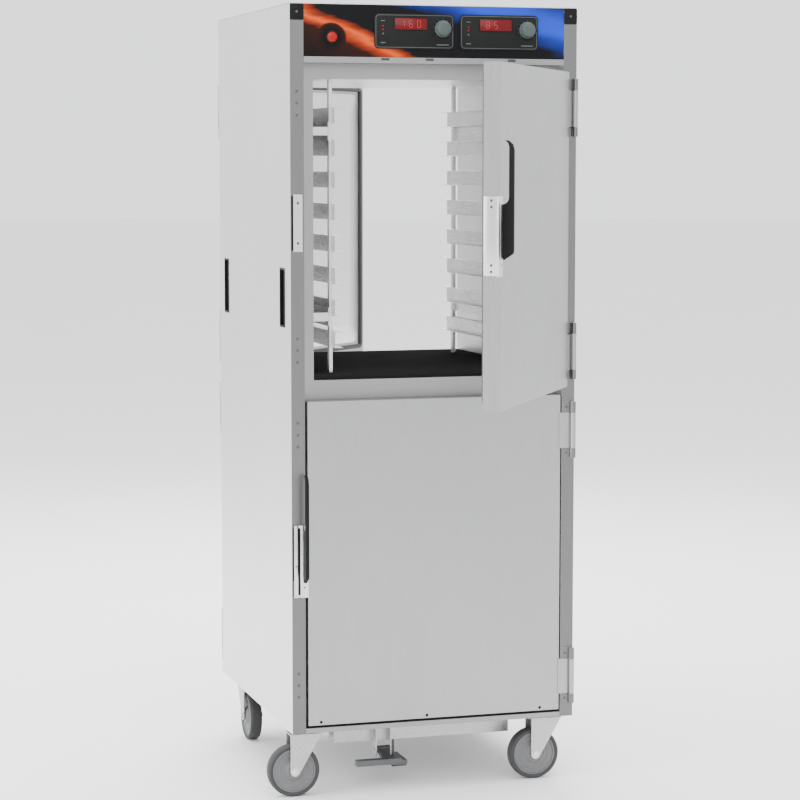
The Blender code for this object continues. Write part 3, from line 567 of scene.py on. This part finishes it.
def latch(end, level):
    """Latch housing: a deep channel over the post, its flange, screws, pin and tongue."""
    middle = latch_middle(end, level)
    low, high = middle - LATCH_HALF, middle + LATCH_HALF
    outline = [(LATCH_OUTER, LATCH_BACK), (LATCH_OUTER, LATCH_FACE), (CHANNEL_OUTER, LATCH_FACE),
               (CHANNEL_OUTER, CHANNEL_DEPTH), (CHANNEL_INNER, CHANNEL_DEPTH), (CHANNEL_INNER, LATCH_FACE),
               (LATCH_INNER, LATCH_FACE), (LATCH_INNER, LATCH_BACK)]
    housing = prism(outline, "Z", low, high, 0.0005)
    flange = block((FLANGE_OUTER, FLANGE_FACE, low + 0.0005),
                   (FREE_EDGE - 0.0003, FLANGE_BACK, high - 0.0005), 0.0005)
    at = door_matrix(end, level)
    body = f"{end}_{level}_door"
    made = piece(f"{end}_{level}_latch_housing", [(housing, HERE), (flange, HERE)], "bright", body, at)
    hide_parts(f"{end}_{level}_latch")
    heads = []
    for offset in (0.077, 0.063, -0.063, -0.077):
        heads.append((screw(0.0030), facing((FLANGE_OUTER, -0.3620, middle + offset), (-1, 0, 0))))
    for x, offset in ((-0.3262, -0.062), (-0.3468, -0.0114)):
        heads.append((screw(0.0022), facing((x, LATCH_FACE, middle + offset), (0, -1, 0))))
    piece(f"{end}_{level}_latch_screws", heads, "coated", body, at)
    tongue = block((CHANNEL_OUTER + 0.0006, -0.3866, low + 0.006),
                   (CHANNEL_INNER - 0.0006, CHANNEL_DEPTH - 0.0001, high - 0.006), 0.0005)
    piece(f"{end}_{level}_latch_tongue", [(tongue, HERE)], "dark", body, at)


def strike_screws(end, level):
    """Flush heads on a strike, and a dark strip along its outer edge as painted shade."""
    low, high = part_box(f"front_{level}_strike")
    x = (low.x + high.x) / 2
    heads = [(screw(0.0034, 0.0003), facing((x, low.y, z), (0, -1, 0)))
             for z in (low.z + 0.020, high.z - 0.020)]
    piece(f"{end}_{level}_strike_screws", heads, "coated", "cabinet", end_matrix(end))
    # Painted shade: a dark strip along the strike's outer edge.
    shade_strip = block((low.x - 0.0045, POST_FACE - 0.0005, low.z + 0.003),
                 (low.x - 0.0004, POST_FACE + 0.0001, high.z - 0.003), 0.0002)
    piece(f"{end}_{level}_strike_shade_strip", [(shade_strip, HERE)], "dark", "cabinet", end_matrix(end))


def hinge_screws(end, level):
    """Two heads on each fixed hinge leaf."""
    low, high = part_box(f"{end}_{level}_door")
    heads = []
    for middle in (low.z + 0.085, high.z - 0.085):
        for offset in (0.0555, -0.0575):
            spot = (LEAF_X, POST_FACE - 0.0020, middle + offset)
            heads.append((screw(0.0032, 0.0011), facing(spot, (0, -1, 0))))
    piece(f"{end}_{level}_hinge_screws", heads, "coated", "cabinet", end_matrix(end))


def plug_screws(end, level):
    """Capped holes on the other post, where the hinges go on a reversed door."""
    low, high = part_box(f"{end}_{level}_door")
    heads = []
    for middle in (low.z + 0.100, high.z - 0.078):
        for offset in (0.028, 0.0, -0.028):
            spot = (PLUG_X, POST_FACE + 0.0001, middle + offset)
            heads.append((screw(0.0036, 0.0014), facing(spot, (0, -1, 0))))
    piece(f"{end}_{level}_plug_screws", heads, "coated", "cabinet", end_matrix(end))


def drip_pins(end):
    """Small dark pins along the lower door's bottom edge."""
    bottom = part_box(f"{end}_lower_door")[0].z
    heads = [(screw(0.0036, 0.0016), facing((x, POST_FACE + 0.0001, bottom + 0.0075), (0, -1, 0)))
             for x in (-0.285, -0.020, 0.270)]
    piece(f"{end}_lower_door_pins", heads, "dark", f"{end}_lower_door", door_matrix(end, "lower"))


for end in ENDS:
    drip_pins(end)
    for level in LEVELS:
        gasket(end, level)
        inner_pan(end, level)
        latch(end, level)
        strike_screws(end, level)
        hinge_screws(end, level)
        plug_screws(end, level)


# ---------------------------------------------------------------- controls

def corner_caps(end):
    """Black caps over the tops of the posts."""
    caps, heads = [], []
    for x in (-CAP_X, CAP_X):
        cap = slab(0.0163, 0.0187, 0.003, POST_FACE - 0.0022, POST_FACE - 0.0001, 0.0007)
        caps.append((cap, Matrix.Translation((x, 0, CAP_MIDDLE))))
        heads.append((screw(0.0030, 0.0012), facing((x, POST_FACE - 0.0020, CAP_MIDDLE), (0, -1, 0))))
    piece(f"{end}_corner_caps", caps, "black", "cabinet", end_matrix(end))
    piece(f"{end}_corner_cap_screws", heads, "coated", "cabinet", end_matrix(end))


def lip_slots(end):
    """Oval slots along the lip under the controls, drawn as flat dark patches: painted shade inside the
    slots.
    """
    shapes = [(slab(0.0105, 0.0030, 0.0029, POST_FACE - 0.0005, POST_FACE + 0.0002, 0.0002),
               Matrix.Translation((x, 0, LIP_MIDDLE))) for x in LIP_SLOTS]
    piece(f"{end}_lip_slots", shapes, "slot", "cabinet", end_matrix(end))


WINDOW_HALF = (0.0400, 0.0135)
SEGMENTS = {"0": "abcdef", "1": "bc", "5": "acdfg", "6": "acdefg", "8": "abcdefg"}


def digit_bars(figure, height):
    """The lit bars of one seven-bar figure, centred on the origin, in XZ."""
    half_h, half_w, thick = height / 2, height * 0.24, height * 0.07
    spots = {"a": (0, half_h, "h"), "d": (0, -half_h, "h"), "g": (0, 0, "h"), "b": (half_w, half_h / 2, "v"),
             "c": (half_w, -half_h / 2, "v"), "f": (-half_w, half_h / 2, "v"),
             "e": (-half_w, -half_h / 2, "v")}
    bars = []
    for key in SEGMENTS[figure]:
        x, z, lying = spots[key]
        across, tall = (half_w * 0.78, thick / 2) if lying == "h" else (thick / 2, half_h * 0.39)
        bars.append((slab(across, tall, thick * 0.45, 0.0, 0.0004, 0.0001, 2), Matrix.Translation((x, 0, z))))
    return bars


def controller(side, figures):
    """Rounded control module: face, light outline, display, marks, dial ring."""
    low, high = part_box(f"{side}_controller")
    knob_joint = JOINTS[f"{side}_knob_turn"]
    knob_x, _, knob_z = knob_joint["pos_m"]
    x, z = (low.x + high.x) / 2, (low.z + high.z) / 2
    face = low.y
    half_x, half_z = (high.x - low.x) / 2, (high.z - low.z) / 2
    middle = Matrix.Translation((x, 0, z))
    bezel = slab(half_x, half_z, 0.010, face, POST_FACE - 0.0001, 0.0007)
    made = piece(f"{side}_controller_face", [(bezel, middle)], "panel", "cabinet", None)
    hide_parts(f"{side}_controller")
    line = band(half_x - 0.0035, half_z - 0.0035, 0.0075,
                [(-0.0006, face), (-0.0006, face - 0.0002), (0.0006, face - 0.0002), (0.0006, face)])
    piece(f"{side}_controller_outline", [(line, middle)], "outline", "cabinet", None)
    window_x, window_z = x - 0.0085, z + 0.0175
    window = Matrix.Translation((window_x, 0, window_z))
    rim = [(0.0, face + 0.0001), (0.0, face - 0.0009), (0.0014, face - 0.0009), (0.0018, face - 0.0003),
           (0.0018, face + 0.0001)]
    frame_band = band(*WINDOW_HALF, 0.0015, rim, 3)
    piece(f"{side}_display_frame", [(frame_band, window)], "black", "cabinet", None)
    pane = slab(*WINDOW_HALF, 0.0012, face - 0.0004, face + 0.0002, 0.0002, 2)
    piece(f"{side}_display", [(pane, window)], "display", "cabinet", None)
    bars = []
    for index, figure in enumerate(figures):
        at = Matrix.Translation((window_x - 0.020 + index * 0.020, face - 0.0007, window_z))
        bars += [(shape, at @ placing) for shape, placing in digit_bars(figure, 0.0165)]
    piece(f"{side}_display_digits", bars, "digits", "cabinet", None)
    marks = []
    bars_and_dots = ((-0.077, -0.027, 0.0065, 0.0012), (-0.077, 0.024, 0.0050, 0.0010),
                     (knob_x - x, -0.0305, 0.0150, 0.0013), (-0.077, -0.006, 0.0020, 0.0020))
    for offset_x, offset_z, half_w, half_h in bars_and_dots:
        marks.append((slab(half_w, half_h, half_h * 0.8, face - 0.0003, face + 0.0001, 0.0001, 2),
                      Matrix.Translation((x + offset_x, 0, z + offset_z))))
    for turn in range(11):
        angle = math.radians(-135 + 27 * turn)
        radial = Matrix.Rotation(angle, 4, "Y") @ Matrix.Translation((0, 0, 0.0225))
        marks.append((slab(0.0004, 0.0016, 0.0003, face - 0.0010, face - 0.0004, 0.0001, 2),
                      Matrix.Translation((knob_x, 0, knob_z)) @ radial))
    piece(f"{side}_controller_marks", marks, "outline", "cabinet", None)
    lamps = [(lathe([(0, 0.0012), (0.0012, 0.0009), (0.0019, 0.0), (0, 0)], 16),
              facing((x - 0.0770, face, z + offset), (0, -1, 0))) for offset in (0.012, 0.004)]
    piece(f"{side}_controller_lamps", lamps, "lens", "cabinet", None)
    disc = ring_lathe([(0.0040, 0.0), (0.0040, 0.0004), (0.0195, 0.0004), (0.0235, 0.0009),
                       (0.0250, 0.0)], 48)
    piece(f"{side}_dial_ring", [(disc, facing((knob_x, face, knob_z), (0, -1, 0)))], "black", "cabinet", None)


# Each ring of a knob: its radius, its share of the depth and how deeply it is fluted.
KNOB_RINGS = [(0.0006, 1.0, 0.0), (0.0100, 1.0, 0.0), (0.0145, 0.985, 0.2), (0.0163, 0.93, 0.8),
              (0.0170, 0.86, 1.0), (0.0185, 0.30, 1.0), (0.0192, 0.18, 0.4), (0.0200, 0.14, 0.0),
              (0.0200, 0.0, 0.0), (0.0006, 0.0, 0.0)]


def knob(side):
    """Fluted knob with a skirt and a pointer."""
    low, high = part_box(f"{side}_knob")
    x, z = (low.x + high.x) / 2, (low.z + high.z) / 2
    front, back = low.y, POST_FACE - 0.0033
    depth = back - front
    rings = []
    count = 96
    for radius, share, flute in KNOB_RINGS:
        ring = []
        for step in range(count):
            angle = 2 * math.pi * step / count
            wave = radius - flute * 0.0011 * (0.5 - 0.5 * math.cos(12 * angle)) ** 2
            ring.append((wave * math.cos(angle), wave * math.sin(angle), depth * share))
        rings.append(ring)
    at = facing((x, back, z), (0, -1, 0))
    made = piece(f"{side}_fluted_knob", [(loft(rings), at)], "knob", f"{side}_knob", None, 50.0)
    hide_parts(f"{side}_knob")
    pointer = slab(0.0007, 0.0060, 0.0006, front - 0.0002, front + 0.0004, 0.0002, 3)
    piece(f"{side}_knob_pointer", [(pointer, Matrix.Translation((x, 0, z + 0.0085)))], "outline",
          f"{side}_knob", None)


def button_ring():
    low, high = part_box("power_button")
    at = facing(((low.x + high.x) / 2, POST_FACE, (low.z + high.z) / 2), (0, -1, 0))
    ring = ring_lathe([(0.0126, 0.0), (0.0126, 0.0038), (0.0136, 0.0046), (0.0158, 0.0036), (0.0170, 0.0010),
                       (0.0170, 0.0)], 40)
    piece("power_button_ring", [(ring, at)], "black", "cabinet", None)


for end in ENDS:
    corner_caps(end)
lip_slots("front")
controller("left", "160")
controller("right", "85")
knob("left")
knob("right")
button_ring()


# ---------------------------------------------------------------- running gear

TYRE = [(0.0530, 0.0135), (0.0560, 0.0152), (0.0600, 0.0150), (0.0626, 0.0120), (0.0635, 0.0070),
        (0.0635, -0.0070), (0.0626, -0.0120), (0.0600, -0.0150), (0.0560, -0.0152), (0.0530, -0.0135)]
HUB = [(0.0528, 0.0130), (0.0505, 0.0142), (0.0490, 0.0142), (0.0478, 0.0112), (0.0390, 0.0105),
       (0.0375, 0.0116), (0.0345, 0.0116), (0.0330, 0.0105), (0.0250, 0.0110), (0.0215, 0.0150),
       (0.0170, 0.0178), (0.0080, 0.0180)]


def hub_half(sign):
    return [(radius, sign * out) for radius, out in HUB]


def wheel(end, side):
    name = f"{end}_{side}_caster"
    joint = JOINTS[f"{name}_roll"]
    at = facing(joint["pos_m"], joint["axis"])
    body = f"{name}_wheel"
    tyre = piece(f"{name}_tyre", [(ring_lathe(TYRE, 72), HERE)], "tyre", body, at, 40.0)
    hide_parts(body)
    core = ring_lathe(hub_half(1) + list(reversed(hub_half(-1))), 72)
    piece(f"{name}_core", [(core, HERE)], "core", body, at, 30.0)


def hexagon(radius, height):
    """A nut or bolt head with chamfered corners."""
    rings = []
    for scale, level in ((1.0, 0.0), (1.0, height * 0.8), (0.86, height)):
        rings.append([(scale * radius * math.cos(math.radians(60 * k)),
                       scale * radius * math.sin(math.radians(60 * k)), level) for k in range(6)])
    return loft(rings)


def axle_ends(end, side):
    """Bolt head, nut and washers outside the fork's legs, and the swivel's seal."""
    name = f"{end}_{side}_caster"
    joint = JOINTS[f"{name}_roll"]
    at = facing(joint["pos_m"], joint["axis"])
    shapes = []
    for sign in (-1, 1):
        turn = HERE if sign > 0 else Matrix.Rotation(math.pi, 4, "X")
        washer = lathe([(0, 0.0010), (0.0098, 0.0010), (0.0105, 0.0004), (0.0105, 0.0), (0, 0.0)], 28)
        shapes.append((washer, turn @ Matrix.Translation((0, 0, 0.0236))))
        shapes.append((hexagon(0.0075, 0.0048), turn @ Matrix.Translation((0, 0, 0.0246))))
    piece(f"{name}_axle_bolt", shapes, "bright", f"{name}_fork", at)
    swivel = JOINTS[f"{name}_swivel"]["pos_m"]
    seal = ring_lathe([(0.0301, -0.0024), (0.0318, -0.0018), (0.0322, -0.0002), (0.0318, 0.0018),
                       (0.0301, 0.0024)], 40)
    piece(f"{name}_swivel_seal", [(seal, Matrix.Translation((swivel[0], swivel[1], SEAL_MIDDLE)))], "gasket",
          f"{name}_fork", None)


for end in ENDS:
    for side in ("left", "right"):
        wheel(end, side)
        axle_ends(end, side)


def floor_lock_details():
    """Holes along the lock's channel, drawn as flat dark patches of painted shade, and the rubber pad under
    its foot.
    """
    holes = []
    for x, half in ((-0.175, 0.006), (-0.055, 0.010), (0.045, 0.006), (0.110, 0.012), (0.190, 0.005)):
        holes.append((slab(half, 0.0050, 0.0045, LOCK_FACE - 0.0004, LOCK_FACE + 0.0002, 0.0002, 4),
                      Matrix.Translation((x, 0, LOCK_MIDDLE))))
    piece("floor_lock_holes", holes, "dark", "cabinet", None)
    foot_low, foot_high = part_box("floor_lock_foot")
    pad = block((foot_low.x + 0.002, foot_low.y + 0.002, foot_low.z - 0.0050),
                (foot_high.x - 0.002, foot_high.y - 0.002, foot_low.z - 0.0001), 0.0012)
    piece("floor_lock_pad", [(pad, HERE)], "gasket", "floor_lock_foot", None)


floor_lock_details()


# ---------------------------------------------------------------- studio

def studio_material(name, colour):
    material, tree, shader = new_material(name)
    clouds = noise(tree, (1.0, 1.0, 1.0), 0.8, 2.0)
    tone = ramp(tree, clouds, [(0.3, shade(colour, 0.985)), (0.7, colour)])
    tree.links.new(tone, shader.inputs["Base Color"])
    shader.inputs["Roughness"].default_value = 0.85
    return material


def studio_floor():
    """Pale round floor, wide enough to end beyond every view."""
    profile = [(0.0, 0.0), (3.0, 0.0), (9.0, 0.0), (24.0, 0.0), (60.0, 0.0)]
    shape = lathe(profile, 64)
    mesh = bpy.data.meshes.new("studio_floor")
    shape.to_mesh(mesh)
    shape.free()
    mesh.materials.append(studio_material("studio_paper", (0.95, 0.95, 0.95)))
    floor = bpy.data.objects.new("studio_floor", mesh)
    bpy.context.scene.collection.objects.link(floor)


def area_light(name, location, target, size, power):
    data = bpy.data.lights.new(name, "AREA")
    data.shape = "RECTANGLE"
    data.size, data.size_y = size
    data.energy = power
    lamp = bpy.data.objects.new(name, data)
    lamp.location = location
    lamp.rotation_euler = (Vector(target) - Vector(location)).to_track_quat("-Z", "Y").to_euler()
    lamp.visible_camera = False
    bpy.context.scene.collection.objects.link(lamp)


studio_floor()
area_light("left_softbox", (-5.0, -0.6, 2.2), (0, 0, 1.0), (4.5, 4.0), 210)
area_light("front_softbox", (-1.5, -7.5, 4.5), (0, 0, 0.9), (6.0, 3.5), 190)
area_light("top_softbox", (0.0, 0.5, 5.6), (0, 0, 0.5), (7.0, 6.0), 420)
area_light("rear_fill", (0.8, 3.4, 3.6), (0, 0.6, 1.3), (3.0, 2.0), 200)

world = bpy.data.worlds.new("studio")
bpy.context.scene.world = world
world.use_nodes = True
world.node_tree.nodes["Background"].inputs["Color"].default_value = (0.95, 0.96, 0.97, 1.0)
world.node_tree.nodes["Background"].inputs["Strength"].default_value = 1.9

camera_data = bpy.data.cameras.new("camera")
camera_data.lens = 109.8
camera_data.sensor_width = 36.0
camera = bpy.data.objects.new("camera", camera_data)
camera.location = (-1.753, -5.93, 1.522)
camera.rotation_euler = (math.radians(90 - 5.59), 0, math.radians(-16.70))
bpy.context.scene.collection.objects.link(camera)
bpy.context.scene.camera = camera
